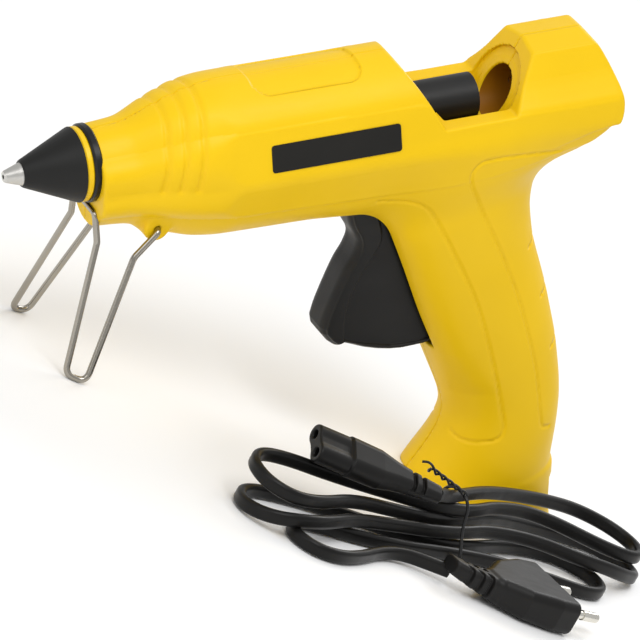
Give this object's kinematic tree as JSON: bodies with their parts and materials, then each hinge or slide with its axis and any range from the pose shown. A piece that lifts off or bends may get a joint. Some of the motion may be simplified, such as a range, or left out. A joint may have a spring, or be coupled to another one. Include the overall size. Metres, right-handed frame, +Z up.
{
  "type": "glue gun",
  "caption": "Corded hot melt glue gun with a ribbed nose, squeeze trigger with lever-driven stick feed, folding wire stand and a detachable mains lead lying beside it.",
  "frame": {"origin": "on the surface it stands on, under the middle of the tool without its lead", "axes": "+Z up, nozzle towards -X and pitched down, +Y to the side that the casing screws enter; the casing's parting plane is Y = 0"},
  "size_m": [0.3279, 0.1604, 0.193],
  "materials": {
    "yellow_shell": "satin, fine moulded texture",
    "label_dark": "smooth satin, plain",
    "nozzle_metal": "turned, satin",
    "black_silicone": "soft matte",
    "yellow_ring": "semi-gloss",
    "black_seal": "semi-gloss",
    "cast_aluminium": "cast",
    "heater_ceramic": "matte film wrap",
    "spring_steel": "drawn wire and sheet",
    "red_silicone": "matte",
    "black_trigger": "fine texture",
    "zinc_steel": "zinc plated",
    "black_tube": "satin",
    "stand_chrome": "plated wire",
    "black_socket": "semi-gloss",
    "contact_brass": "plated",
    "wire_sleeve": "woven glass sleeve",
    "fuse_metal": "plain",
    "cord_pvc": "semi-gloss jacket",
    "plug_rubber": "moulded, satin",
    "pin_nickel": "nickel plated",
    "tie_black": "coated wire"
  },
  "bodies": {
    "casing": {"left_shell": "yellow_shell", "right_shell": "yellow_shell", "shell_screws": "zinc_steel", "label_plate_left": "label_dark", "label_plate_right": "label_dark", "nozzle": "nozzle_metal", "nozzle_sleeve": "black_silicone", "nose_ring": "yellow_ring", "nose_seal": "black_seal", "melt_chamber": "cast_aluminium", "ptc_heater": "heater_ceramic", "heater_clip": "spring_steel", "inlet_sleeve": "red_silicone", "sleeve_clamp": "spring_steel", "valve_spring": "spring_steel", "trigger_pin": "zinc_steel", "return_spring": "spring_steel", "inlet_socket": "black_socket", "inlet_pins": "contact_brass", "heater_wires": "wire_sleeve", "thermal_fuse": "fuse_metal"},
    "trigger": {"trigger": "black_trigger"},
    "carriage": {"feed_tube": "black_tube", "carriage_pin": "zinc_steel", "jaw_pin": "zinc_steel"},
    "jaw": {"grip_jaw": "zinc_steel"},
    "valve": {"valve_ball": "spring_steel"},
    "stand": {"stand_wire": "stand_chrome"},
    "lead": {"lead_hank": "cord_pvc", "lead_connector": "plug_rubber", "mains_plug": "plug_rubber", "plug_pins": "pin_nickel", "twist_tie": "tie_black"}
  },
  "joints": [
    {"name": "trigger_squeeze", "type": "hinge", "parent": "casing", "child": "trigger", "pos_m": [0.01991, 0, 0.10018], "axis": [0, -1, 0], "range_deg": [0, 18.5], "stiffness_Nm_per_rad": 0.6, "springref_deg": -17.19},
    {"name": "carriage_feed", "type": "slide", "parent": "casing", "child": "carriage", "axis": [-0.8746, 0, -0.4848], "range_m": [0, 0.0108], "deforming": ["return_spring"]},
    {"name": "jaw_bite", "type": "hinge", "parent": "carriage", "child": "jaw", "pos_m": [-0.00858, 0, 0.1227], "axis": [0, 1, 0], "range_deg": [0, 11]},
    {"name": "valve_lift", "type": "slide", "parent": "casing", "child": "valve", "axis": [-0.8746, 0, -0.4848], "range_m": [0, 0.0015], "stiffness_N_per_m": 100, "springref_m": -0.002, "deforming": ["valve_spring"]},
    {"name": "stand_fold", "type": "hinge", "parent": "casing", "child": "stand", "pos_m": [-0.08911, 0, 0.06377], "axis": [0, -1, 0], "range_deg": [0, 90]},
    {"name": "lead_lift", "type": "slide", "parent": "casing", "child": "lead", "axis": [0, 0, 1], "range_m": [0, 0.1]}
  ],
  "couplings": [
    {"joint": "carriage_feed", "follows": "trigger_squeeze", "m_per_rad": 0.03286},
    {"joint": "jaw_bite", "follows": "trigger_squeeze", "ratio": 0.573}
  ]
}
